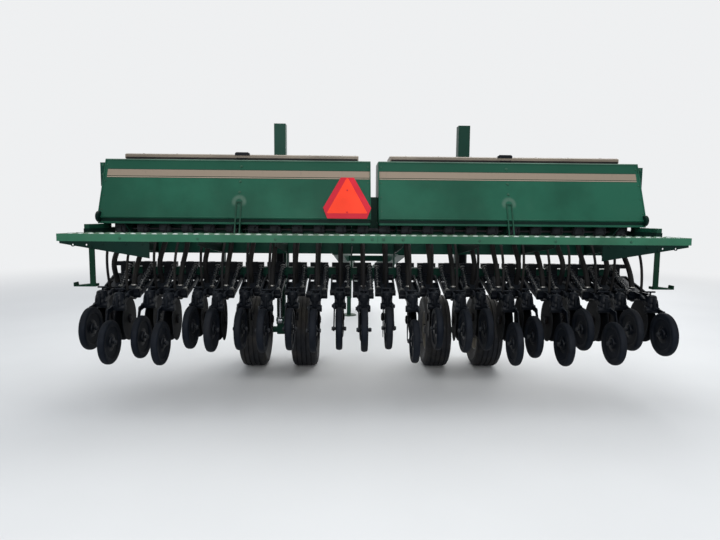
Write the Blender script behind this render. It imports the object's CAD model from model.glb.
# Dressed view of a trailed seed drill: paint, rubber, coils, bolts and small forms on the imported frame.
import math
import random
from itertools import product

import bmesh
import bpy
from mathutils import Matrix, Vector


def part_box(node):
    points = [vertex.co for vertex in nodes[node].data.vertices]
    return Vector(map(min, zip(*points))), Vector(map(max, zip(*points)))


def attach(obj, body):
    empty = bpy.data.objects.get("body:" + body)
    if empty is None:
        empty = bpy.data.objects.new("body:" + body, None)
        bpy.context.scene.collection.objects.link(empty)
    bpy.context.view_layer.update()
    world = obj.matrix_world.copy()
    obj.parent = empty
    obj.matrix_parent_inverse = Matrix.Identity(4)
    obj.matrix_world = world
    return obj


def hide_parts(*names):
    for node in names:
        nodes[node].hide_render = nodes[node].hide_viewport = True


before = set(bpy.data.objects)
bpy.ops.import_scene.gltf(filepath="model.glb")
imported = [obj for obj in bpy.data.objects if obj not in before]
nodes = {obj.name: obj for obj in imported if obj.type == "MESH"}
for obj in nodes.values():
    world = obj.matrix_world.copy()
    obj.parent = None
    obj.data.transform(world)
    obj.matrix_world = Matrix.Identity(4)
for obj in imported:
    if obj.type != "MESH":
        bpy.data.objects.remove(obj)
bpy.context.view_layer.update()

dice = random.Random(7)

# Places read off the frame
tyreLow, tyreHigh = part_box("tyres_left")
axleY = (tyreLow.y + tyreHigh.y) / 2
axleZ = (tyreLow.z + tyreHigh.z) / 2
shaftLow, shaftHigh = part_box("meter_shaft")
shaftY, shaftZ = (shaftLow.y + shaftHigh.y) / 2, (shaftLow.z + shaftHigh.z) / 2
plankLow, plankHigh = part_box("walkboards")
rows = []  # one entry a seed row: its number from the left, and its press wheel's node, middle and size
for number, wheelName in enumerate(sorted(n for n in nodes if n.startswith("press_wheel_"))):
    low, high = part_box(wheelName)
    rows.append({"number": number, "wheel": wheelName, "hub": (low + high) / 2, "size": high - low})

# A row unit. "Ahead" counts from the disc's middle, "back" from the axle, "top" from the head
unit = {
    "pitch": 0.1905, "rankGap": 0.125,  # between two rows, and between the front and the rear rank
    "discAhead": 0.335, "discZ": 0.622,  # the disc's middle, ahead of its press wheel
    "headZ": 0.787, "bootAhead": 0.165, "bootTop": 0.070, "nippleAhead": 0.020, "nippleTop": 0.062,
    "armGap": 0.052, "plate": 0.010, "springX": 0.064, "lugAhead": 0.060, "lugTop": 0.070,
    "pivotBack": 0.470, "pivotZ": 0.920, "towerBack": 0.470, "towerZ": 1.030}


# Shader expressions

class Sock:  # an output socket that adds nodes when it is calculated with
    def __init__(self, tree, out=None):
        self.tree, self.out = tree, out

    def node(self, kind, settings=None, links=None, pick=0):  # any node: settings first, then its sockets
        made = self.tree.nodes.new("ShaderNode" + kind)
        for key, value in (settings or {}).items():
            setattr(made, key, value)
        for key, value in (links or {}).items():
            if isinstance(value, Sock):
                self.tree.links.new(value.out, made.inputs[key])
            else:
                made.inputs[key].default_value = value
        return Sock(self.tree, made.outputs[pick])

    def calc(self, operation, *values):
        return self.node("Math", {"operation": operation}, dict(enumerate(values)))

    def through(self, operation, *others):  # this value put through an operation
        return self.calc(operation, self, *others)

    def __add__(self, other):
        return self.calc("ADD", self, other)

    def __radd__(self, other):
        return self.calc("ADD", other, self)

    def __sub__(self, other):
        return self.calc("SUBTRACT", self, other)

    def __rsub__(self, other):
        return self.calc("SUBTRACT", other, self)

    def __mul__(self, other):
        return self.calc("MULTIPLY", self, other)

    def __rmul__(self, other):
        return self.calc("MULTIPLY", other, self)

    def __gt__(self, other):
        return self.calc("GREATER_THAN", self, other)

    def __lt__(self, other):
        return self.calc("LESS_THAN", self, other)

    def step(self, low, high):  # 0 below low, 1 above high, smooth between
        return self.node("MapRange", {"interpolation_type": "SMOOTHSTEP"},
                         {"Value": self, "From Min": low, "From Max": high})

    def band(self, low, high):  # 1 between two values
        return (self > low) * (self < high)

    def blend(self, a, b):  # colour a where this is 0, colour b where it is 1
        tones = [c if isinstance(c, Sock) else (*c, 1) for c in (a, b)]
        return self.node("Mix", {"data_type": "RGBA"}, {0: self, 6: tones[0], 7: tones[1]}, 2)

    def part(self, axis):  # one part of a vector
        return self.node("SeparateXYZ", None, {0: self}, axis)

    def normal(self, axis):  # one part of the surface's direction
        return self.node("NewGeometry", pick="Normal").part(axis)

    def noise(self, scale, detail=3.0, rough=0.55):
        return self.node("TexNoise", None, {"Vector": self, "Scale": scale, "Detail": detail,
                                            "Roughness": rough})

    def stretch(self, x, y, z):
        return self.node("VectorMath", {"operation": "MULTIPLY"}, {0: self, 1: (x, y, z)})


finishes = {}  # each finish by its name
dustTone, coolDust = (0.30, 0.26, 0.20), (0.16, 0.18, 0.21)


def shade(tone, share, lift=0.0):
    return tuple(c * share + lift for c in tone)


def newFinish(name, metallic=0.0, coat=0.0, specular=0.5):
    made = finishes[name] = bpy.data.materials.new(name)
    made.use_nodes = True
    shader = made.node_tree.nodes["Principled BSDF"]
    for socket, value in (("Metallic", metallic), ("Coat Weight", coat), ("Specular IOR Level", specular)):
        shader.inputs[socket].default_value = value
    place = Sock(made.node_tree).node("TexCoord", pick="Object")
    return made, shader, place, place.normal(2)


def setFinish(made, shader, color, roughness, height=None, bump=0.3, distance=0.001):
    tree = made.node_tree
    tree.links.new(color.out, shader.inputs["Base Color"])
    tree.links.new(roughness.out, shader.inputs["Roughness"])
    if height is not None:
        normal = height.node("Bump", None, {"Strength": bump, "Distance": distance, "Height": height})
        tree.links.new(normal.out, shader.inputs["Normal"])


def paint(name, tone, dust=0.35, gloss=0.36, worn=(0.10, 0.09, 0.08), wear=0.35, decor=None, specular=0.22,
          coat=0.03, grime=dustTone):
    made, shader, place, facing = newFinish(name, coat=coat, specular=specular)
    cloud, fine = place.noise(1.7, 4.0), place.noise(38.0, 3.0)
    color = cloud.step(0.35, 0.68).blend(shade(tone, 0.78), shade(tone, 1.18, 0.002))
    if decor:
        color = decor(place, color)
    streak = place.stretch(26.0, 26.0, 2.2).noise(1.0, 4.0, 0.6)  # rain marks run down
    color = (streak.step(0.55, 0.8) * 0.16).blend(color, shade(tone, 0.5))
    chips = place.noise(62.0, 6.0, 0.7).step(0.70, 0.745) * place.noise(3.1, 2.0).step(0.48, 0.66) * wear
    color = chips.blend(color, worn)
    settled = facing.step(0.25, 0.95) * (fine * 0.5 + 0.5) * dust
    haze = place.noise(5.0, 5.0).step(0.45, 0.8) * dust * 0.14
    color = (settled + haze).through("MINIMUM", 1.0).blend(color, grime)
    rough = gloss + settled * 0.4 + haze * 0.5 + fine * 0.08 + chips * 0.2
    skin = place.noise(240.0, 2.0) * 0.3 + fine * 0.4 - chips * 0.8
    setFinish(made, shader, color, rough, skin, 0.16, 0.0006)


stripe = {
    "low": 1.786, "top": 1.841, "pinLow": 1.773, "pinHigh": 1.780, "edgeWide": 0.004,  # heights on the wall
    "inner": 0.040, "outer": 2.262,  # distances from the middle
    "tone": (0.235, 0.186, 0.140), "pinTone": (0.30, 0.25, 0.19),
    "edge": (0.008, 0.020, 0.014), "upperTone": (0.0065, 0.056, 0.033)}
halo = {"x": 1.1374, "z": 1.569, "tone": (0.095, 0.150, 0.115),  # pale dust round each hoop's end
        "inside": (0.020, 0.036), "outside": (0.046, 0.070)}


def boxDecor(place, color):  # tan stripe, dark line and pinstripe on the leaning rear walls
    height, side = place.part(2), place.part(0).through("ABSOLUTE")
    rear = place.normal(1) < -0.6
    inside = side.band(stripe["inner"], stripe["outer"]) * rear
    top, edgeTop = stripe["top"], stripe["top"] + stripe["edgeWide"]
    color = (height.step(top, edgeTop) * rear * 0.8).blend(color, stripe["upperTone"])
    edge = height.band(stripe["pinLow"] - stripe["edgeWide"], edgeTop)
    color = (edge * inside).blend(color, stripe["edge"])
    color = (height.band(stripe["low"], top) * inside).blend(color, stripe["tone"])
    reach, drop = side - halo["x"], height - halo["z"]
    away = (reach * reach + drop * drop).through("SQRT")
    dusty = (away.step(*halo["inside"]) * (1 - away.step(*halo["outside"])) * (0.30 + place.noise(40.0) * 0.4)
             * drop.step(-0.045, 0.0) * rear)
    color = dusty.blend(color, halo["tone"])
    return (height.band(stripe["pinLow"], stripe["pinHigh"]) * inside).blend(color, stripe["pinTone"])


def discDecor(place, color):  # each opener disc: rust near the hub, a band polished by the soil
    turn = (place.part(0) * (1 / unit["pitch"]) + 11.5).through("ROUND") * 0.5
    odd = (turn - turn.through("FLOOR")) * 2  # 1 in the rear rank
    across = place.part(1) - rows[0]["hub"].y - unit["discAhead"] + odd * unit["rankGap"]
    up = place.part(2) - unit["discZ"]
    far = (across * across + up * up).through("SQRT")
    stain = place.noise(14.0, 5.0, 0.65)
    color = ((1 - far.step(0.05, 0.12)) * stain.step(0.4, 0.7) * 0.8).blend(color, (0.010, 0.0065, 0.0050))
    return (far.step(0.146, 0.158) * stain.step(0.25, 0.6) * 0.7).blend(color, (0.011, 0.012, 0.014))


def bareSteel(name, tone=(0.42, 0.42, 0.41), rust=0.25, rough=0.34):
    made, shader, place, facing = newFinish(name)
    patch = place.noise(9.0, 6.0, 0.65).step(0.52, 0.72) * rust
    grain = place.stretch(6.0, 90.0, 90.0).noise(3.0, 3.0)
    color = grain.step(0.3, 0.7).blend(shade(tone, 0.75), tone)
    color = patch.blend(color, (0.13, 0.055, 0.025))
    made.node_tree.links.new((0.88 - patch * 0.7).out, shader.inputs["Metallic"])
    setFinish(made, shader, color, rough + patch * 0.45 + grain * 0.12, grain + patch, 0.2, 0.0005)


def castIron(name, tone, grime=dustTone):
    made, shader, place, facing = newFinish(name, metallic=0.25, specular=0.4)
    pits = place.noise(130.0, 4.0, 0.7)
    color = place.noise(7.0, 4.0).step(0.35, 0.7).blend(shade(tone, 0.7), tone)
    color = (facing.step(0.2, 0.9) * pits * 0.55).blend(color, grime)
    setFinish(made, shader, color, 0.52 + pits * 0.25, pits, 0.5, 0.0012)


def rubber(name, tone, dust=0.5, ridge=None, bump=0.35, specular=0.16):
    made, shader, place, facing = newFinish(name, specular=specular)
    mottled = place.noise(16.0, 5.0, 0.6)
    fine = place.noise(180.0, 3.0)
    color = mottled.step(0.3, 0.75).blend(tone, shade(tone, 1.5, 0.002))
    scuffed = (place.noise(4.2, 4.0).step(0.42, 0.75) * 0.5 + facing.step(-0.2, 1.0) * 0.3) * dust
    color = scuffed.blend(color, shade(dustTone, 0.55))
    height = fine * 0.5 + mottled * 0.3
    if ridge:
        height = height + ridge(place)
    setFinish(made, shader, color, 0.60 + scuffed * 0.3 + fine * 0.1, height, bump, 0.001)


def tyreSipes(place):  # 96 narrow cuts across the ribs, and rings on the sidewall
    ahead, up = place.part(1) - axleY, place.part(2) - axleZ
    turn = ahead.through("ARCTAN2", up) * (96 / (2 * math.pi))
    cut = turn.through("FRACT").band(0.0, 0.12)
    far = (ahead * ahead + up * up).through("SQRT")
    ring = (far * 420.0).through("SINE") * far.band(0.22, 0.31) * 0.25
    return ring - cut * (far > 0.335) * 0.9


def hoseRings(place):
    return (place.part(2) * 820.0).through("SINE") * 0.9


looks = {
    paint: {
        "frameGreen": dict(tone=(0.0026, 0.036, 0.023), dust=0.09, specular=0.09, coat=0.01),
        "carrierGreen": dict(tone=(0.0011, 0.0125, 0.0090), dust=0.07, specular=0.07, coat=0.0),
        "edgeGreen": dict(tone=(0.075, 0.150, 0.112), dust=0.25, wear=0.6, worn=(0.30, 0.31, 0.30)),
        "boxGreen": dict(tone=(0.0080, 0.072, 0.042), dust=0.07, gloss=0.34, wear=0.2, specular=0.12,
                         decor=boxDecor),
        "plankGreen": dict(tone=(0.022, 0.108, 0.061), dust=0.34, gloss=0.42, wear=0.7,
                           worn=(0.30, 0.31, 0.30), specular=0.16),
        "plankBolt": dict(tone=(0.012, 0.070, 0.040), dust=0.20, gloss=0.40, wear=1.0),
        "gripRim": dict(tone=(0.40, 0.45, 0.42), dust=0.25, gloss=0.34, wear=0.8, worn=(0.55, 0.55, 0.53)),
        "stepGreen": dict(tone=(0.0045, 0.046, 0.026), dust=0.15, wear=0.5, specular=0.14),
        "hangerGreen": dict(tone=(0.0018, 0.022, 0.011), dust=0.10, wear=0.6, specular=0.08, coat=0.0),
        "lidTan": dict(tone=(0.165, 0.134, 0.102), dust=0.26, gloss=0.40, worn=(0.10, 0.07, 0.05), wear=0.3),
        "blackPaint": dict(tone=(0.0020, 0.0032, 0.0056), dust=0.09, gloss=0.36, worn=(0.08, 0.075, 0.070),
                           specular=0.08, coat=0.015, grime=coolDust),
        "discSteel": dict(tone=(0.0020, 0.0028, 0.0042), dust=0.04, gloss=0.62, worn=(0.07, 0.06, 0.055),
                          wear=0.5, specular=0.05, coat=0.0, grime=coolDust, decor=discDecor),
        "coilBlack": dict(tone=(0.012, 0.015, 0.020), dust=0.10, gloss=0.20, worn=(0.20, 0.20, 0.20),
                          wear=0.8, specular=0.60, coat=0.15, grime=coolDust),
        "rimPaint": dict(tone=(0.150, 0.140, 0.122), dust=0.5, gloss=0.50, worn=(0.05, 0.03, 0.02), wear=0.9),
        "signRed": dict(tone=(0.58, 0.016, 0.034), dust=0.05, gloss=0.34, wear=0.1, specular=0.12),
        "signOrange": dict(tone=(0.98, 0.058, 0.022), dust=0.04, gloss=0.34, wear=0.05, specular=0.10)},
    bareSteel: {
        "bareSteel": dict(),
        "boltSteel": dict(tone=(0.50, 0.49, 0.46), rust=0.5, rough=0.38),
        "shaftSteel": dict(tone=(0.050, 0.052, 0.055), rust=0.45, rough=0.55),
        "chromeRod": dict(tone=(0.33, 0.34, 0.36), rust=0.0, rough=0.16)},
    castIron: {
        "castGrey": dict(tone=(0.036, 0.042, 0.048)),
        "greyBolt": dict(tone=(0.010, 0.012, 0.016), grime=(0.07, 0.08, 0.09))},
    rubber: {
        "hoseRubber": dict(tone=(0.0046, 0.0046, 0.0052), dust=0.14, ridge=hoseRings, bump=0.5),
        "tyreRubber": dict(tone=(0.0085, 0.0095, 0.0120), dust=0.42, ridge=tyreSipes, bump=0.9),
        "pressRubber": dict(tone=(0.0018, 0.0034, 0.0066), dust=0.06, specular=0.10),
        "sealRubber": dict(tone=(0.004, 0.004, 0.004), dust=0.2)}}
for makeFinish, named in looks.items():
    for name, look in named.items():
        makeFinish(name, **look)
print("finishes made:", len(finishes))

finishNodes = {  # which CAD nodes take each finish
    "frameGreen": "cross_tubes frame_rails tongue leg_sleeves box_saddles feed_rail leg_left leg_right",
    "boxGreen": "seed_box_left seed_box_right", "plankGreen": "walkboards",
    "carrierGreen": "walkboard_brackets", "hangerGreen": "side_steps", "stepGreen": "wall_straps jack",
    "lidTan": "lid_left lid_right", "signRed": "slow_sign", "discSteel": "opener_discs",
    "blackPaint": "hitch_clevis lift_barrels opener_mounts opener_arms opener_springs depth_handles "
                  "press_arms",
    "bareSteel": "lid_hinges", "shaftSteel": "meter_shaft", "chromeRod": "rod_left rod_right",
    "castGrey": "meters", "hoseRubber": "seed_hoses", "tyreRubber": "tyres_left tyres_right",
    "rimPaint": "rims_left rims_right", "pressRubber": " ".join(row["wheel"] for row in rows)}
for finishName, names in finishNodes.items():
    for name in names.split():
        nodes[name].data.materials.clear()
        nodes[name].data.materials.append(finishes[finishName])


# Mesh building

def turned(axis):  # a frame whose third direction is the axis
    return Vector(axis).normalized().to_track_quat("Z", "Y").to_matrix()


class Shape:  # gathers the points and faces of one piece
    def __init__(self):
        self.points, self.faces, self.marks = [], [], []

    def add(self, points, faces, mark=0):  # mark: which of the piece's finishes the faces take
        first = len(self.points)
        self.points += [Vector(p) for p in points]
        self.faces += [[first + k for k in face] for face in faces]
        self.marks += [mark] * len(faces)

    def rings(self, profile, middle, axis, turns):  # a profile of radius and place along the axis, turned
        spin, middle, points = turned(axis), Vector(middle), []
        for k in range(turns):
            c, s = math.cos(2 * math.pi * k / turns), math.sin(2 * math.pi * k / turns)
            points += [middle + spin @ Vector((r * c, r * s, h)) for r, h in profile]
        return points

    def lathe(self, profile, middle, axis, turns=48, mark=0):  # a turned form that is open in the middle
        n, faces = len(profile), []
        for k in range(turns):
            a, b = k * n, (k + 1) % turns * n
            faces += [[a + j, b + j, b + (j + 1) % n, a + (j + 1) % n] for j in range(n)]
        self.add(self.rings(profile, middle, axis, turns), faces, mark)

    def spindle(self, profile, middle, axis, turns=20, mark=0):  # a turned form with both ends closed
        n, faces = len(profile), []
        ends = self.rings([(0.0, profile[0][1]), (0.0, profile[-1][1])], middle, axis, 1)
        for k in range(turns):
            a, b = 2 + k * n, 2 + (k + 1) % turns * n
            faces += [[0, b, a], [1, a + n - 1, b + n - 1]]
            faces += [[a + j, b + j, b + j + 1, a + j + 1] for j in range(n - 1)]
        self.add(ends + self.rings(profile, middle, axis, turns), faces, mark)

    def sweep(self, path, radius, sides=8, mark=0, ripple=None):  # tube along a path, closed at its ends
        path = [Vector(p) for p in path]
        last = len(path) - 1
        ways = [(path[min(k + 1, last)] - path[max(k - 1, 0)]).normalized() for k in range(last + 1)]
        side = turned(ways[0]) @ Vector((1, 0, 0))
        points = []
        for k, (p, way) in enumerate(zip(path, ways)):
            side = (side - way * side.dot(way)).normalized()
            other = way.cross(side)
            r = radius * (ripple(k) if ripple else 1)
            for j in range(sides):
                a = 2 * math.pi * j / sides
                points.append(p + side * (r * math.cos(a)) + other * (r * math.sin(a)))
        faces = [[k * sides + j, k * sides + (j + 1) % sides, (k + 1) * sides + (j + 1) % sides,
                  (k + 1) * sides + j] for k in range(last) for j in range(sides)]
        faces += [list(range(sides - 1, -1, -1)), [last * sides + j for j in range(sides)]]
        self.add(points, faces, mark)

    def prism(self, outline, thick, middle, axis, up=None, mark=0):  # an outline made thick along an axis
        n = len(outline)
        spin, middle = turned(axis), Vector(middle)
        if up is not None:
            side = Vector(up).cross(Vector(axis)).normalized()
            spin = Matrix((side, Vector(up), Vector(axis))).transposed()
        points = [middle + spin @ Vector((x, y, h)) for h in (0.0, thick) for x, y in outline]
        faces = [list(range(n - 1, -1, -1)), [n + k for k in range(n)]]
        faces += [[k, (k + 1) % n, n + (k + 1) % n, n + k] for k in range(n)]
        self.add(points, faces, mark)

    def block(self, low, high, bevel=0.002, mark=0):  # box with its edges taken off, three points a corner
        points, index, faces = [], {}, []
        for key in product((0, 1), repeat=3):
            full = [(low[a], high[a])[s] for a, s in enumerate(key)]
            shy = [v + (bevel if s == 0 else -bevel) for v, s in zip(full, key)]
            for a in range(3):
                index[(*key, a)] = len(points)
                points.append([full[k] if k == a else shy[k] for k in range(3)])

        def at(a, s, u, v, pick):  # the point of a corner that lies s along axis a, u and v along the others
            key = [0, 0, 0]
            key[a], key[(a + 1) % 3], key[(a + 2) % 3] = s, u, v
            return index[(*key, pick)]

        for a in range(3):
            b, c = (a + 1) % 3, (a + 2) % 3
            for s in (0, 1):  # the two sides across this axis
                ring = [at(a, s, u, v, a) for u, v in ((0, 0), (1, 0), (1, 1), (0, 1))]
                faces.append(ring if s else ring[::-1])
            for u, v in product((0, 1), repeat=2):  # the four edges along it
                ring = [at(a, 0, u, v, b), at(a, 1, u, v, b), at(a, 1, u, v, c), at(a, 0, u, v, c)]
                faces.append(ring[::-1] if u == v else ring)
        for key in product((0, 1), repeat=3):  # the corners
            ring = [index[(*key, a)] for a in range(3)]
            faces.append(ring if sum(key) % 2 else ring[::-1])
        self.add(points, faces, mark)

    def bolt(self, place, axis, size=0.012, mark=0, washer=True):  # hexagon head; size is the thread
        across, tall, turn = size * 0.98, size * 0.66, dice.uniform(0, 1)
        spin, place, base = turned(axis), Vector(place), 0.0
        if washer:
            base = size * 0.16
            self.spindle([(size * 1.25, 0.0), (size * 1.25, base)], place, axis, 14, mark)
        points = []
        for r, h in ((across, base), (across, base + tall * 0.8), (across * 0.84, base + tall)):
            points += [place + spin @ Vector((r * math.cos(turn + k * math.pi / 3),
                                              r * math.sin(turn + k * math.pi / 3), h)) for k in range(6)]
        faces = [[5, 4, 3, 2, 1, 0], [12, 13, 14, 15, 16, 17]]
        faces += [[6 * t + k, 6 * t + (k + 1) % 6, 6 * t + 6 + (k + 1) % 6, 6 * t + 6 + k]
                  for t in (0, 1) for k in range(6)]
        self.add(points, faces, mark)

    def bead(self, path, size=0.006, mark=0):  # weld bead with its ripples
        path = [Vector(p) for p in path]
        stations = []
        for a, b in zip(path, path[1:]):
            n = max(2, int((b - a).length / (size * 0.9)))
            stations += [a.lerp(b, k / n) for k in range(n)]
        stations.append(path[-1])
        self.sweep(stations, size, 6, mark, lambda k: 0.78 + 0.22 * (k % 2) + dice.uniform(-0.05, 0.05))

    def piece(self, name, body, finishNames, slotName, smooth=35.0, replaced=()):
        mesh = bpy.data.meshes.new(name)
        mesh.from_pydata([tuple(p) for p in self.points], [], self.faces)
        for finishName in finishNames:
            mesh.materials.append(finishes[finishName])
        mesh.polygons.foreach_set("material_index", self.marks)
        mesh.validate()
        grid = bmesh.new()
        grid.from_mesh(mesh)
        bmesh.ops.recalc_face_normals(grid, faces=grid.faces)
        grid.to_mesh(mesh)
        grid.free()
        mesh.shade_smooth()
        mesh.set_sharp_from_angle(angle=math.radians(smooth))
        made = bpy.data.objects.new(name, mesh)
        bpy.context.scene.collection.objects.link(made)
        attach(made, body)
        if replaced:
            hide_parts(*replaced)


# Transport wheels

tyre = {"width": 0.240, "rib": 0.010, "groove": 0.010, "bead": 0.1905,
        "grooves": (-0.27, -0.09, 0.09, 0.27)}  # shares of the width
wheelNut = {"count": 6, "ring": 0.083, "proud": 0.0345, "thread": 0.016, "firstDeg": 15}


def tyreSection():  # radius and place across, outer face of the tyre and its bead, ribs on the tread
    radius, half, deep, wide = axleZ, tyre["width"] / 2, tyre["rib"], tyre["groove"]
    tread = [(radius - 0.030, -half * 0.93), (radius - 0.013, -half * 0.86), (radius - 0.005, -half * 0.74)]
    for share in tyre["grooves"]:
        g = share * tyre["width"]
        crown = radius - 0.0035 * abs(g / half)
        tread += [(crown, g - wide * 0.55), (crown - deep, g - wide * 0.35),
                  (crown - deep, g + wide * 0.35), (crown, g + wide * 0.55)]
    tread += [(radius - 0.005, half * 0.74), (radius - 0.013, half * 0.86), (radius - 0.030, half * 0.93)]
    side = [(radius - 0.034, 0.965), (radius - 0.050, 0.985), (radius - 0.054, 1.0), (radius - 0.066, 1.0),
            (radius - 0.070, 0.985), (radius - 0.100, 0.95), (radius - 0.128, 0.86), (radius - 0.143, 0.80),
            (tyre["bead"] + 0.010, 0.775), (tyre["bead"], 0.75), (tyre["bead"], 0.66)]
    right = [(r, w * half) for r, w in side]
    left = [(r, -w * half) for r, w in reversed(side)]
    return left + tread + right


def wheelSet(side):
    low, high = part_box("tyres_" + side)
    body, half = "wheels_" + side, tyre["width"] / 2
    shape, fittings = Shape(), Shape()
    cap = [(0.040, 0.060), (0.040, 0.084), (0.036, 0.092), (0.022, 0.098), (0.008, 0.100)]
    for x, face in ((low.x + half, -1), (high.x - half, 1)):  # nuts, hub cap and valve on the outer faces
        shape.lathe(tyreSection(), (x, axleY, axleZ), (1, 0, 0), 96)
        for k in range(wheelNut["count"]):
            turn = math.radians(360 / wheelNut["count"] * k + wheelNut["firstDeg"])
            spot = Vector((x + face * wheelNut["proud"], axleY, axleZ))
            spot += wheelNut["ring"] * Vector((0, math.cos(turn), math.sin(turn)))
            fittings.bolt(spot, (face, 0, 0), wheelNut["thread"])
        fittings.spindle(cap, (x, axleY, axleZ), (face, 0, 0), 28, 1)
        stem = Vector((x + face * 0.040, axleY + 0.150, axleZ + 0.02))
        valve = [stem, stem + Vector((face * 0.02, 0.004, 0)), stem + Vector((face * 0.038, 0.012, 0.002))]
        fittings.sweep(valve, 0.005, 8, 1)
    shape.piece("tyrePair" + side.title(), body, ["tyreRubber"], "tyre_black", 30, ("tyres_" + side,))
    fittings.piece("wheelFittings" + side.title(), body, ["boltSteel", "blackPaint"], "bare_steel")


wheelSet("left")
wheelSet("right")
print("transport wheels made")

# Press wheels: a rubber ring on a dished disc, with the rivets that hold its halves

pressWheel = {"turns": 64, "hubShare": 0.40, "bore": 0.0085, "rivets": 4, "rivetShare": 0.335}


def pressSection(radius, half):  # rubber ring
    hub = pressWheel["hubShare"]
    right = [(1.000, 0.10), (0.997, 0.34), (0.985, 0.62), (0.962, 0.86), (0.930, 0.985), (0.88, 1.0),
             (0.79, 0.97), (0.745, 0.90), (0.72, 0.70), (0.70, 0.55), (hub + 0.01, 0.50), (hub, 0.44)]
    points = [(r * radius, w * half) for r, w in right]
    return points + [(r, -w) for r, w in reversed(points)]


def pressHub(radius, half):  # steel disc with its swelling hub
    hub = pressWheel["hubShare"]
    right = [(hub, 0.44), (hub - 0.02, 0.47), (0.30, 0.45), (0.255, 0.52), (0.235, 0.93), (0.21, 0.99)]
    points = [(r * radius, w * half) for r, w in right] + [(pressWheel["bore"], half * 0.99)]
    return points + [(r, -w) for r, w in reversed(points)]


def pressWheels():
    for row in rows:
        radius, half, hub = row["size"].z / 2, row["size"].x / 2, row["hub"]
        ring = radius * pressWheel["rivetShare"]
        shape = Shape()
        shape.lathe(pressSection(radius, half), hub, (1, 0, 0), pressWheel["turns"])
        shape.lathe(pressHub(radius, half), hub, (1, 0, 0), 32, 1)
        for face, k in product((-1, 1), range(pressWheel["rivets"])):
            turn = math.radians(90 * k + 20 + 7 * row["number"])
            place = hub + Vector((face * half * 0.455, ring * math.cos(turn), ring * math.sin(turn)))
            shape.spindle([(0.006, 0), (0.0055, 0.0022), (0.003, 0.0036)], place, (face, 0, 0), 10, 2)
        shape.piece(f"pressWheel{row['number'] + 1:02d}", row["wheel"],
                    ["pressRubber", "blackPaint", "greyBolt"], "press_rubber", 32, (row["wheel"],))


pressWheels()
print("press wheels made:", len(rows))

# Hoses from the cups to the openers, each with a thin tube beside it

hose = {"radius": 0.0215, "rings": 44, "below": 0.060, "slack": (0.110, 0.020)}  # slack in either rank
thin = {"radius": 0.011, "steps": 30, "back": 0.071, "below": 0.038, "lead": (0, -0.250, 0.012),
        "sag": 0.060, "sagZ": 1.080}


def discOf(row):
    return Vector((row["hub"].x, row["hub"].y + unit["discAhead"], unit["discZ"]))


def outwards(row):
    return -1 if row["hub"].x < 0 else 1


def hosePath(row):
    start = Vector((row["hub"].x, shaftY, shaftZ - hose["below"]))
    end = Vector((row["hub"].x, discOf(row).y + unit["bootAhead"], unit["headZ"] + unit["bootTop"]))
    slack = hose["slack"][row["number"] % 2]
    path = []
    for k in range(hose["rings"] + 1):
        t = k / hose["rings"]
        ease = t * t * (3 - 2 * t)
        y = start.y + (end.y - start.y) * ease - slack * math.sin(math.pi * t) ** 2
        path.append(Vector((start.x, y, start.z + (end.z - start.z) * t)))
    return path


def thinPath(row):
    x = row["hub"].x
    p0 = Vector((x, shaftY - thin["back"], shaftZ - thin["below"]))
    p3 = Vector((x, discOf(row).y + unit["nippleAhead"], unit["headZ"] + unit["nippleTop"]))
    p1 = p0 + Vector(thin["lead"])
    p2 = Vector((x, (p1.y + p3.y) / 2 - thin["sag"], thin["sagZ"]))
    path = []
    for k in range(thin["steps"] + 1):
        t = k / thin["steps"]
        u = 1 - t
        path.append(p0 * u ** 3 + p1 * (3 * u * u * t) + p2 * (3 * u * t * t) + p3 * t ** 3)
    return path


def seedHoses():
    shape, radius = Shape(), hose["radius"]
    clip = [(radius * 0.98, -0.004), (radius * 1.09, -0.004), (radius * 1.09, 0.004), (radius * 0.98, 0.004)]
    for row in rows:
        path = hosePath(row)
        shape.sweep(path, radius, 12, 0, lambda k: 1.0 if k % 2 else 0.955)
        shape.sweep(thinPath(row), thin["radius"], 8)
        for k in (1, -3):  # spring clips near both ends
            shape.lathe(clip, path[k], path[k + 1] - path[k], 20, 1)
    shape.piece("seedHoseSet", "root", ["hoseRubber", "boltSteel"], "hose_rubber", 40, ("seed_hoses",))


seedHoses()
print("hoses made")

# Springs of the row units, each on a rod between two pads

spring = {"turns": 9, "wire": 0.0042, "radius": 0.0195, "rod": 0.007, "rest": 0.030, "pad": 0.008,
          "steps": 14}  # steps in a turn


def openerSprings():
    shape = Shape()
    rest, pad, wire, radius = spring["rest"], spring["pad"], spring["wire"], spring["radius"]
    for row in rows:
        disc = discOf(row)
        x = row["hub"].x - outwards(row) * unit["springX"]
        top = Vector((x, axleY - unit["towerBack"], unit["towerZ"]))
        foot = Vector((x, disc.y + unit["lugAhead"], unit["headZ"] + unit["lugTop"] - 0.020))
        way = (foot - top).normalized()
        long = (foot - top).length
        spin = turned(way)
        shape.sweep([top + way * pad, foot - way * pad], spring["rod"], 12, 1)
        for near, far in ((rest - pad, rest), (long - rest, long - rest + pad)):
            shape.lathe([(0.0065, near), (0.023, near), (0.0235, near + 0.002), (0.0235, far - 0.002),
                         (0.023, far), (0.0065, far)], top, way, 20, 1)
        steps, coil = spring["steps"] * spring["turns"], []
        for k in range(steps + 1):
            a = 2 * math.pi * k / spring["steps"]
            h = rest + wire + (long - 2 * rest - 2 * wire) * k / steps
            coil.append(top + spin @ Vector((radius * math.cos(a), radius * math.sin(a), h)))
        shape.sweep(coil, wire, 6)
        shape.bolt(top + way * (rest - pad), -way, 0.012, 2, False)
    shape.piece("openerSpringSet", "root", ["coilBlack", "bareSteel", "boltSteel"], "black_steel", 40,
                ("opener_springs",))


openerSprings()
print("springs made")

# Bolts of the row units and the clamps that hold them to the tool bar

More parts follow.
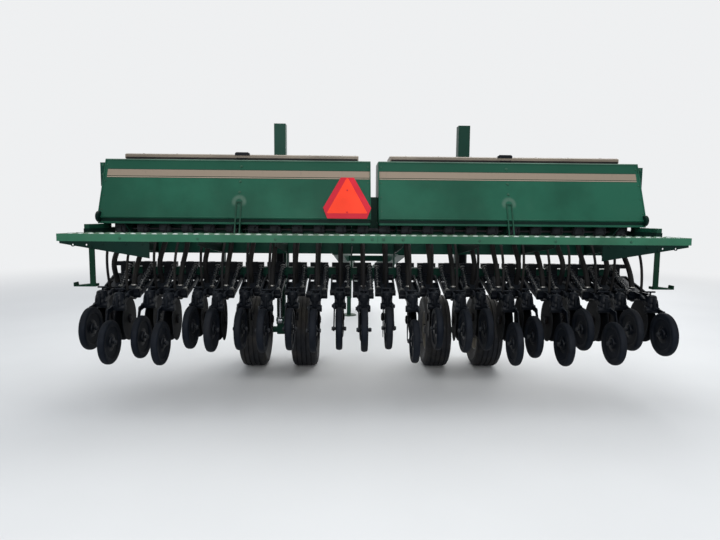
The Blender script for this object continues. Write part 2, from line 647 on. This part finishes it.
toolBar = {"back": 0.370, "z": 0.950, "half": 0.050, "clampX": 0.034, "clampRod": 0.0055, "lip": 0.006,
           "padX": 0.046, "padThick": 0.010}
discHub = {"leanDeg": 5, "sideX": 0.01895, "proud": 0.014, "boltRing": 0.023, "bolts": 4}
unitBolt = {"pivot": 0.018, "clamp": 0.009, "disc": 0.007, "lug": 0.014, "wheel": 0.016,  # threads
            "pressPivot": (0.052, 0.150, 0.050), "headCap": (0.132, 0.050)}  # places on the head


def unitBolts():  # pivots, clamp bolts, disc hubs, press wheel bolts
    shape, bars = Shape(), Shape()
    barY, barZ, half, lip = axleY - toolBar["back"], toolBar["z"], toolBar["half"], toolBar["lip"]
    padRear = barY - half - toolBar["padThick"]
    lean, headZ = math.radians(discHub["leanDeg"]), unit["headZ"]
    for row in rows:
        x, out, disc, hub = row["hub"].x, outwards(row), discOf(row), row["hub"]
        for s in (-1, 1):
            end = x + s * (unit["armGap"] / 2 + unit["plate"] + 0.006)
            shape.bolt((end, axleY - unit["pivotBack"], unit["pivotZ"]), (s, 0, 0), unitBolt["pivot"])
            clampX, near, far = x + s * toolBar["clampX"], barY - half - 0.022, barY + half
            clamp = [(near, -half - lip), (far, -half - lip), (far + lip, -half), (far + lip, half),
                     (far, half + lip), (near, half + lip)]
            bars.sweep([(clampX, y, barZ + h) for y, h in clamp], toolBar["clampRod"], 8)
            for up in (-1, 1):
                shape.bolt((clampX, padRear, barZ + up * (half + lip)), (0, -1, 0), unitBolt["clamp"])
            sideways = Vector((s * math.cos(lean), math.sin(lean), 0))
            along = Vector((-s * math.sin(lean), math.cos(lean), 0))
            middle = disc + Vector((s * discHub["sideX"], 0, 0)) + sideways * discHub["proud"]
            for k in range(discHub["bolts"]):  # bolts of the disc's bearing
                turn = math.radians(90 * k + 45)
                ring = along * math.cos(turn) + Vector((0, 0, math.sin(turn)))
                shape.bolt(middle + discHub["boltRing"] * ring, sideways, unitBolt["disc"], washer=False)
            shape.spindle([(0.013, 0), (0.012, 0.004), (0.006, 0.006)], middle, sideways, 16)
        bars.block((x - toolBar["padX"], padRear, barZ - half - 0.016),
                   (x + toolBar["padX"], barY - half - 0.0004, barZ + half + 0.0115))
        lug = (x + out * 0.036, disc.y + unit["lugAhead"], headZ + 0.030)
        shape.bolt(lug, (out, 0, 0), unitBolt["lug"])
        for face, gap in ((out, 0.022), (-out, 0.016)):  # both ends of the press wheel's bolt
            end = (x + face * (row["size"].x / 2 + gap), hub.y, hub.z)
            shape.bolt(end, (face, 0, 0), unitBolt["wheel"])
        side, back, drop = unitBolt["pressPivot"]
        shape.bolt((x + out * side, disc.y - back, headZ - drop), (out, 0, 0), unitBolt["wheel"])
        back, rise = unitBolt["headCap"]
        shape.bolt((x, disc.y - back, headZ + rise), (0, 0, 1), unitBolt["clamp"])
    shape.piece("unitBoltSet", "root", ["greyBolt"], "bare_steel")
    bars.piece("barClampSet", "root", ["blackPaint"], "black_steel")


unitBolts()

# Castings of the row units

head = {
    "cheek": [(0.075, 0.018), (0.060, 0.063), (-0.030, 0.065), (-0.105, 0.035), (-0.160, 0.025),
              (-0.176, -0.017), (-0.152, -0.042), (-0.100, -0.007), (-0.050, 0.013), (0.0, 0.021)],
    "turret": [(0.034, -0.050), (0.041, -0.046), (0.044, -0.032), (0.044, -0.014), (0.040, -0.009),
               (0.040, 0.004), (0.045, 0.009), (0.046, 0.030), (0.042, 0.036), (0.041, 0.050),
               (0.035, 0.062), (0.020, 0.068)],
    "cheekX": 0.0268, "cheekThick": 0.015, "turretBack": 0.137}
sideBar = {"x": 0.078, "half": 0.006, "webHalf": 0.024, "eyeX": 0.036}


def strip(half, low, high):  # cross section of a flat bar
    return [(-half, low), (half, low), (half, high), (-half, high)]


def unitCastings():  # cheeks, turret and bearing of the head, flanges of the arm, the bars at both its sides
    shape = Shape()
    boss = [(0.017, 0.0), (0.017, 0.006), (0.012, 0.010)]
    bearing = [(0.024, 0.0), (0.027, 0.004), (0.027, 0.100), (0.024, 0.104)]
    eye = [(0.022, 0.0), (0.026, 0.003), (0.026, 0.048), (0.022, 0.051)]
    for row in rows:
        x, out, disc, top = row["hub"].x, outwards(row), discOf(row), unit["headZ"]
        for s in (-1, 1):
            shape.prism([(s * a, h) for a, h in head["cheek"]], head["cheekThick"],
                        (x + s * head["cheekX"], disc.y, top), (s, 0, 0), (0, 0, 1))
            bossX = head["cheekX"] + head["cheekThick"]
            shape.spindle(boss, (x + s * bossX, disc.y - 0.066, top + 0.030), (s, 0, 0), 18)
        shape.spindle(head["turret"], (x, disc.y - head["turretBack"], top), (0, 0, 1), 28)
        shape.block((x - 0.011, disc.y - 0.191, top - 0.040), (x + 0.011, disc.y - 0.170, top + 0.046), 0.004)
        shape.spindle(bearing, (x - 0.052, disc.y - 0.150, top - 0.050), (1, 0, 0), 22)
        shape.block((x - 0.058, disc.y + 0.086, top + 0.014), (x + 0.058, disc.y + 0.128, top + 0.048), 0.005)
        pivot = Vector((x, axleY - unit["pivotBack"], unit["pivotZ"]))
        joint = Vector((x, disc.y + 0.060, top + 0.030))
        way = (joint - pivot).normalized()
        long = (joint - pivot).length
        lift = Vector((0, way.z, -way.y)).normalized()
        if lift.z < 0:
            lift = -lift
        for off in (0.020, -0.025):  # flanges of the arm
            shape.prism(strip(0.038, 0, 0.006), long - 0.060, pivot + way * 0.034 + lift * off, way, lift)
        # bars beside the arm, joined to it by webs, with an eye at both ends; the inner one passes the spring
        for s, rise, drop in ((out, 0.026, 0.026), (-out, 0.008, 0.030)):
            bar = Vector((s * sideBar["x"], 0, 0))
            shape.prism(strip(sideBar["half"], -drop, rise), long, pivot + bar, way, lift)
            shape.prism(strip(sideBar["webHalf"], 0, 0.005), long - 0.110,
                        pivot + bar * 0.72 + way * 0.055 - lift * 0.024, way, lift)
            for end in (pivot, joint):
                spot = end + Vector((s * sideBar["eyeX"], 0, 0)) + lift * (rise - 0.026) * 0.5
                shape.spindle(eye, spot, (s, 0, 0), 20)
    shape.piece("unitCastings", "root", ["blackPaint"], "black_steel", 40)


unitCastings()
print("row units bolted")

# Seed boxes: folded edges, skirt, end bearings, seals, bolts

box = {"rearLow": 0.720, "rearTop": 0.520, "low": 1.430, "top": 1.930, "front": 0.125, "half": 2.29475,
       "gap": 0.033, "lidMid": 1.137375}  # "rear" and "front" count back from the axle
boxEdge = {"inset": 0.004, "lipZ": 1.438, "rimZ": 1.925, "frontRimZ": 1.924, "seamZ": (1.446, 1.918),
           "underBack": 0.690, "underZ": 1.4195}
skirt = {"back": (0.7125, 0.7095), "z": (1.396, 1.427), "footBack": (0.7195, 0.6925), "footZ": (1.384, 1.402)}
endBearing = {"inset": 0.030, "back": 0.722, "z": 1.440, "profile": [
    (0.040, 0.0), (0.045, 0.004), (0.045, 0.022), (0.038, 0.028), (0.016, 0.029), (0.014, 0.036)]}
boxBolts = {"middle": (1.653, 1.743, 1.874), "ends": (1.50, 1.62, 1.74, 1.88),  # heights
            "plates": (1.73, 1.80, 1.88), "front": 1.66, "frontCount": 9}
seal = {"low": 1.930, "high": 1.9375, "inset": 0.012, "wide": 0.014}
wallRise = Vector((0, box["rearLow"] - box["rearTop"], box["top"] - box["low"])).normalized()
wallOut = Vector((0, -wallRise.z, wallRise.y))


def wallPoint(x, z, proud=0.0):  # a place on the leaning rear wall, proud of it by some amount
    share = (z - box["low"]) / (box["top"] - box["low"])
    y = axleY - box["rearLow"] + (box["rearLow"] - box["rearTop"]) * share
    return Vector((x, y, z)) + wallOut * proud


def seedBoxes():
    trim, bolts, seals = Shape(), Shape(), Shape()
    under, front = axleY - boxEdge["underBack"], axleY - box["front"]
    for s in (-1, 1):
        lowX, highX = sorted((s * box["gap"], s * box["half"]))
        lowX, highX = lowX + boxEdge["inset"], highX - boxEdge["inset"]
        # rolled lip along the lower edge, and a thin one under it
        trim.sweep([wallPoint(x, boxEdge["lipZ"], 0.004) for x in (lowX, highX)], 0.0055, 8)
        trim.sweep([(x, under, boxEdge["underZ"]) for x in (lowX, highX)], 0.006, 8)
        # rolled upper edge at the rear and the front
        trim.sweep([wallPoint(x, boxEdge["rimZ"], 0.003) for x in (lowX, highX)], 0.005, 8, 2)
        trim.sweep([(x, front + 0.001, boxEdge["frontRimZ"]) for x in (lowX, highX)], 0.005, 8)
        for x in (lowX + boxEdge["inset"], highX - boxEdge["inset"]):  # standing seams of the rear wall
            trim.sweep([wallPoint(x, z, 0.002) for z in boxEdge["seamZ"]], 0.0045, 8)
        # folded skirt under the rear wall with its thicker foot
        for back, z, bevel, mark in ((skirt["back"], skirt["z"], 0.001, 1),
                                     (skirt["footBack"], skirt["footZ"], 0.003, 0)):
            trim.block((lowX, axleY - back[0], z[0]), (highX, axleY - back[1], z[1]), bevel, mark)
        place = (s * (box["half"] - endBearing["inset"]), axleY - endBearing["back"], endBearing["z"])
        trim.spindle(endBearing["profile"], place, (s, 0, 0), 28, 1)
        for z in boxBolts["middle"]:
            bolts.bolt(wallPoint(s * box["lidMid"], z), wallOut, 0.010)
        for x, z in product((lowX + 0.020, highX - 0.020), boxBolts["ends"]):
            bolts.bolt(wallPoint(x, z), wallOut, 0.006)
        for z in boxBolts["plates"]:  # bolts of the upright plate at the box's end
            bolts.bolt((s * (box["half"] + 0.025), axleY - box["rearTop"] + 0.006, z), (0, -1, 0), 0.010)
        for k in range(boxBolts["frontCount"]):  # rivets along the front wall's lower fold
            x = lowX + 0.06 + (highX - lowX - 0.12) * k / (boxBolts["frontCount"] - 1)
            bolts.bolt((x, front, boxBolts["front"]), (0, 1, 0), 0.006)
        low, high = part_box("lid_left" if s < 0 else "lid_right")
        sealLow, sealHigh = low.x + seal["inset"], high.x - seal["inset"]
        for near, far in ((low.y + 0.014, low.y + 0.028), (axleY - 0.158, axleY - 0.146)):
            seals.block((sealLow, near, seal["low"]), (sealHigh, far, seal["high"]), 0.002)
        for x in (sealLow, sealHigh - seal["wide"]):
            seals.block((x, low.y + 0.030, seal["low"]), (x + seal["wide"], axleY - 0.160, seal["high"]),
                        0.002)
    trim.piece("boxTrim", "root", ["boxGreen", "carrierGreen", "edgeGreen"], "box_green")
    bolts.piece("boxBolts", "root", ["plankBolt"], "box_green")
    seals.piece("lidSeals", "root", ["sealRubber"], "hose_rubber")


seedBoxes()

lidRib = {"count": 7, "inset": 0.14, "radius": 0.0045}


def lidParts(side, s):  # latch, folded edge, ribs pressed in the top
    low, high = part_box("lid_" + side)
    mid, top = s * box["lidMid"], high.z
    shape = Shape()
    latch = [(-0.062, 0.0), (0.062, 0.0), (0.062, 0.018), (0.050, 0.026), (-0.050, 0.026), (-0.062, 0.018)]
    shape.prism(latch, 0.030, (mid, low.y + 0.026, top - 0.010), (0, -1, 0), (0, 0, 1), 1)
    handle = [(-0.045, 0.004, 0.030), (-0.045, -0.010, 0.036), (0.045, -0.010, 0.036), (0.045, 0.004, 0.030)]
    shape.sweep([(mid + x, low.y + y, top - drop) for x, y, drop in handle], 0.004, 8, 1)
    shape.block((low.x + 0.010, low.y - 0.0022, low.z - 0.002),
                (high.x - 0.010, low.y + 0.004, low.z + 0.021), 0.0008, 3)
    for k in range(lidRib["count"]):
        x = low.x + lidRib["inset"] + (high.x - low.x - 2 * lidRib["inset"]) * k / (lidRib["count"] - 1)
        rib = [(x, low.y + 0.045, top - 0.001), (x, low.y + 0.070, top + 0.002),
               (x, high.y - 0.080, top + 0.002), (x, high.y - 0.055, top - 0.001)]
        shape.sweep(rib, lidRib["radius"])
    for x in (mid - 0.045, mid + 0.045):
        shape.bolt((x, low.y + 0.014, top + 0.015), (0, 0, 1), 0.005, 2)
    shape.piece("lidParts" + side.title(), "lid_" + side, ["lidTan", "blackPaint", "boltSteel", "sealRubber"],
                "lid_tan")


lidParts("left", -1)
lidParts("right", 1)
print("seed boxes and lids dressed")

# Walkboard: raised diamond grips, bolts, rims of the gussets' holes, caps of the end arms

plank = {
    "pitch": 0.077, "rows": 4, "long": 0.026, "wide": 0.017, "tall": 0.0050,  # the grips
    "jointBolts": (-0.188, -0.043, 0.043, 0.188), "jointZ": 1.287,
    "carrierRows": (4, 7, 10), "carrierZ": 1.281, "gussetBolts": (1.74, 1.86, 2.03), "gussetZ": 1.240,
    "endBolt": (0.250, 1.215), "holes": (0.118, 0.217), "holeDrop": 0.026}
endArm = {"x": (2.242, 2.283), "back": (0.972, 0.620), "z": (1.3445, 1.381)}


def grip(x, y, top, worn):  # points of one raised diamond
    long, wide = plank["long"] * (0.62 if worn else 1), plank["wide"] * (0.6 if worn else 1)
    points = []
    for share, lift in ((1.25, -0.0005), (1.0, 1.0), (0.80, 1.0), (0.62, 0.05)):
        a, b = share * long, share * wide
        h = top + (plank["tall"] * lift * (1.5 if worn else 1) if lift > 0 else 0)
        tip = h + (0.0012 if lift == 1 else 0)
        points += [(x + a, y, h), (x + a * 0.35, y + b * 0.8, h), (x, y + b, tip),
                   (x - a * 0.35, y + b * 0.8, h), (x - a, y, h), (x - a * 0.35, y - b * 0.8, h),
                   (x, y - b, tip), (x + a * 0.35, y - b * 0.8, h)]
    return points


def walkboardGrip():
    shape, bolts, arms = Shape(), Shape(), Shape()
    count = int((plankHigh.x - plankLow.x - 0.05) / plank["pitch"])
    first = (plankLow.x + plankHigh.x) / 2 - (count - 1) / 2 * plank["pitch"]
    width = plankHigh.y - plankLow.y
    faces = [[8 * t + j, 8 * t + (j + 1) % 8, 8 * t + 8 + (j + 1) % 8, 8 * t + 8 + j]
             for t in range(3) for j in range(8)] + [[24 + j for j in range(8)]]
    for r in range(plank["rows"]):
        worn = r == 0  # boots have rubbed the rearmost row down to bright rims
        y = plankLow.y + (0.013 if worn else 0.022 + (width - 0.044) * r / (plank["rows"] - 1))
        for k in range(count - r % 2):
            x = first + (k + 0.5 * (r % 2)) * plank["pitch"]
            shape.add(grip(x, y, plankHigh.z, worn), faces, 0 if worn else 1)
    shape.piece("plankGrips", "root", ["gripRim", "plankGreen"], "plank_green")
    for x in plank["jointBolts"]:
        bolts.bolt((x, plankLow.y, plank["jointZ"]), (0, -1, 0), 0.010)
    for k, s in product(plank["carrierRows"], (-1, 1)):
        bolts.bolt((s * k * unit["pitch"], plankLow.y, plank["carrierZ"]), (0, -1, 0), 0.008)
    endX, endZ = plank["endBolt"]
    for s in (-1, 1):
        for x in plank["gussetBolts"]:
            bolts.bolt((s * x, plankLow.y, plank["gussetZ"]), (0, -1, 0), 0.008, 1)
        bolts.bolt((s * (plankHigh.x - endX), plankLow.y, endZ), (0, -1, 0), 0.010, 1)
        for x in plank["holes"]:  # rims pressed into the gusset's holes
            bolts.lathe([(0.007, -0.002), (0.014, -0.002), (0.014, 0.006), (0.007, 0.006)],
                        (s * (plankHigh.x - x), plankLow.y, plankLow.z - plank["holeDrop"]), (0, 1, 0), 20, 1)
        near, far = sorted(s * x for x in endArm["x"])
        rear, front = (axleY - back for back in endArm["back"])
        arms.block((near, rear, endArm["z"][0]), (far, front, endArm["z"][1]), 0.003)
    arms.piece("endArmCaps", "root", ["stepGreen"], "frame_green")
    bolts.piece("plankBolts", "root", ["plankBolt", "carrierGreen"], "plank_green")


walkboardGrip()
print("walkboard dressed")

# Slow-vehicle emblem: an inner triangle on the red plate, with no words

sign = {"x": -0.232, "off": 0.0145, "thick": 0.0008, "low": 0.056, "high": 0.371, "half": 0.168, "tip": 0.009,
        "bolts": (0.060, 0.260)}


def emblem():
    shape = Shape()
    foot = wallPoint(sign["x"], box["low"], sign["off"])
    half, low, high, tip = sign["half"], sign["low"], sign["high"], sign["tip"]
    outline = [(-half, low), (0.006 - half, low - 0.006), (half - 0.006, low - 0.006), (half, low),
               (tip, high - 0.004), (tip * 0.4, high), (-tip * 0.4, high), (-tip, high - 0.004)]
    shape.prism(outline, sign["thick"], foot, wallOut, wallRise)
    for h in sign["bolts"]:
        shape.bolt(foot + wallRise * h + wallOut * sign["thick"], wallOut, 0.006, 1)
    shape.piece("emblemFace", "root", ["signOrange", "signRed"], "sign_orange")


emblem()

# Meters: end covers, feed gates and their levers, and the coupling between the two shafts

meter = {
    "cover": [(0.0295, 0.0), (0.0295, 0.004), (0.026, 0.007)], "coverX": 0.042,
    "gate": [(-0.034, 0.0), (0.034, 0.0), (0.028, 0.026), (-0.028, 0.026)], "gateThick": 0.007,
    "lever": [(-0.046, 0.020), (-0.060, -0.004), (-0.062, -0.020)],  # from the shaft
    "coupler": [(0.019, -0.040), (0.019, -0.008), (0.015, -0.006), (0.015, 0.006), (0.019, 0.008),
                (0.019, 0.040)]}


def meterParts():
    shape = Shape()
    for row in rows:
        x = row["hub"].x
        for s in (1, -1):
            shape.spindle(meter["cover"], (x + s * meter["coverX"], shaftY, shaftZ + 0.003), (s, 0, 0), 24)
        shape.prism(meter["gate"], meter["gateThick"], (x, shaftY - 0.036, shaftZ + 0.004), (0, -1, 0),
                    (0, 0, 1))
        shape.sweep([(x + 0.020, shaftY + y, shaftZ + z) for y, z in meter["lever"]], 0.0035, 6, 1)
        for s in (-1, 1):
            shape.bolt((x + s * 0.030, shaftY - 0.037, shaftZ + 0.030), (0, -1, 0), 0.006, 1)
    shape.spindle(meter["coupler"], (0, shaftY, shaftZ), (1, 0, 0), 20, 1)
    shape.piece("meterParts", "root", ["castGrey", "greyBolt"], "cast_grey")


meterParts()
print("meters dressed")

# Frame: weld beads, and the bolts of the hitch

weld = {"tubeZ": 1.175, "half": 0.050, "upperBack": 0.320, "postX": 0.870, "postHalf": 0.054,
        "railOff": 0.079, "railHalf": 0.025, "tongueX": (0.280, 0.380), "tongueAhead": 0.155,
        "uprightRows": (1, 4, 7, 10), "uprightBack": (0.404, 0.336), "uprightZ": (1.001, 1.124),
        "uprightHalf": 0.006}
hitchBolt = {"x": 0.078, "ahead": 3.080, "z": (0.440, 0.520), "thread": 0.014}


def frameParts():
    beads, bolts = Shape(), Shape()
    low, high = weld["tubeZ"] - weld["half"], weld["tubeZ"] + weld["half"]
    post, rail = weld["postHalf"], weld["railHalf"]
    for s in (-1, 1):
        for k in (-1, 1):  # rails against the sleeve and the two tubes
            x = s * weld["postX"] + k * weld["railOff"]
            for y in (axleY - weld["upperBack"], axleY + post):
                beads.bead([(x - rail, y, low), (x - rail, y, high), (x + rail, y, high), (x + rail, y, low)],
                           0.004)
            x = s * weld["postX"] + k * post
            for z in (low, high):
                beads.bead([(x, axleY - post, z), (x, axleY + post, z)], 0.005)
        for z in (low, high):  # where the tongue meets the frame
            beads.bead([(s * x, axleY + weld["tongueAhead"], z) for x in weld["tongueX"]], 0.006)
        for k, z, e in product(weld["uprightRows"], weld["uprightZ"], (-1, 1)):
            x = s * k * unit["pitch"] + e * weld["uprightHalf"]
            beads.bead([(x, axleY - back, z) for back in weld["uprightBack"]], 0.0035)
        for z in hitchBolt["z"]:
            bolts.bolt((s * hitchBolt["x"], axleY + hitchBolt["ahead"], z), (0, 1, 0), hitchBolt["thread"])
    beads.piece("weldBeads", "root", ["frameGreen"], "frame_green", 60)
    bolts.piece("frameBolts", "root", ["boltSteel"], "bare_steel")


frameParts()
print("frame dressed")

# Floor, light and camera

view = {"x": -0.217, "back": 5.240, "z": 1.452, "yaw": 1.22, "pitch": 5.59, "roll": 0.476,
        "focal": 540 / 720 * 36}  # 540 px in a picture 720 px wide
backTone = (0.86, 0.87, 0.88)
ground = {"rings": (3.0, 6.0, 10.0, 16.0, 30.0, 60.0), "turns": 64, "drop": 0.0004,
          "tones": ((0.62, 0.62, 0.61), (0.68, 0.68, 0.67)), "fade": (4.0, 13.0)}  # fades to the backdrop
airTone = (0.62, 0.66, 0.72)
lamps = {
    "topLight": {"place": (0.5, 0.6, 5.5), "size": 6.0, "power": 260, "aim": (0, 0.0, 1.0)},
    "rearLight": {"place": (-0.4, -8.8, 4.2), "size": 4.5, "power": 330, "aim": (0, -1.2, 1.2)},
    "frontLight": {"place": (4.5, 7.0, 4.5), "size": 5.0, "power": 260, "aim": (0, 0, 0.8)}}


def floorAndBackdrop(scene):
    turns = ground["turns"]
    circle = [(math.cos(2 * math.pi * k / turns), math.sin(2 * math.pi * k / turns)) for k in range(turns)]
    points = [(0, 0, 0)] + [(r * c, r * s, 0) for r in ground["rings"] for c, s in circle]
    faces = [[0, 1 + k, 1 + (k + 1) % turns] for k in range(turns)]
    for t in range(len(ground["rings"]) - 1):
        a, b = 1 + t * turns, 1 + (t + 1) * turns
        faces += [[a + k, b + k, b + (k + 1) % turns, a + (k + 1) % turns] for k in range(turns)]
    mesh = bpy.data.meshes.new("studioFloor")
    mesh.from_pydata(points, [], faces)
    floor = bpy.data.objects.new("studioFloor", mesh)
    scene.collection.objects.link(floor)
    floor.location.z = -ground["drop"]
    made, shader, place, facing = newFinish("floorTone", specular=0.2)
    speck = place.noise(60.0, 3.0)
    setFinish(made, shader, place.noise(0.8, 3.0).blend(*ground["tones"]), 0.7 + speck * 0.1)
    flat = place.part(0) * place.part(0) + place.part(1) * place.part(1)
    far = flat.through("SQRT").step(*ground["fade"])
    glow = place.node("Emission", None, {"Color": (*backTone, 1), "Strength": 1.0})
    shown = place.node("MixShader", None, {0: far, 1: Sock(made.node_tree, shader.outputs[0]), 2: glow})
    made.node_tree.links.new(shown.out, made.node_tree.nodes["Material Output"].inputs[0])
    mesh.materials.append(made)

    world = bpy.data.worlds.new("studioAir")
    scene.world = world
    world.use_nodes = True
    air = Sock(world.node_tree)
    camera, glossy, clear = (air.node("LightPath", pick=name) for name in
                             ("Is Camera Ray", "Is Glossy Ray", "Is Transmission Ray"))
    seen = camera.through("MAXIMUM", glossy).through("MAXIMUM", clear)
    background = world.node_tree.nodes["Background"]
    world.node_tree.links.new(seen.blend(airTone, backTone).out, background.inputs["Color"])
    background.inputs["Strength"].default_value = 1.0


def lightsAndCamera(scene):
    for name, lamp in lamps.items():
        light = bpy.data.lights.new(name, "AREA")
        light.size, light.energy = lamp["size"], lamp["power"]
        lightObject = bpy.data.objects.new(name, light)
        lightObject.location = lamp["place"]
        way = Vector(lamp["aim"]) - Vector(lamp["place"])
        lightObject.rotation_euler = way.to_track_quat("-Z", "Y").to_euler()
        scene.collection.objects.link(lightObject)
    lens = bpy.data.cameras.new("viewCamera")
    lens.sensor_width = 36
    lens.lens = view["focal"]
    camera = bpy.data.objects.new("viewCamera", lens)
    yaw, tilt, roll = (math.radians(a) for a in (-view["yaw"], 90 - view["pitch"], view["roll"]))
    spin = Matrix.Rotation(yaw, 4, "Z") @ Matrix.Rotation(tilt, 4, "X") @ Matrix.Rotation(roll, 4, "Z")
    camera.matrix_world = Matrix.Translation((view["x"], axleY - view["back"], view["z"])) @ spin
    scene.collection.objects.link(camera)
    scene.camera = camera
    scene.view_settings.view_transform = "Standard"


floorAndBackdrop(bpy.context.scene)
lightsAndCamera(bpy.context.scene)
print("studio set")
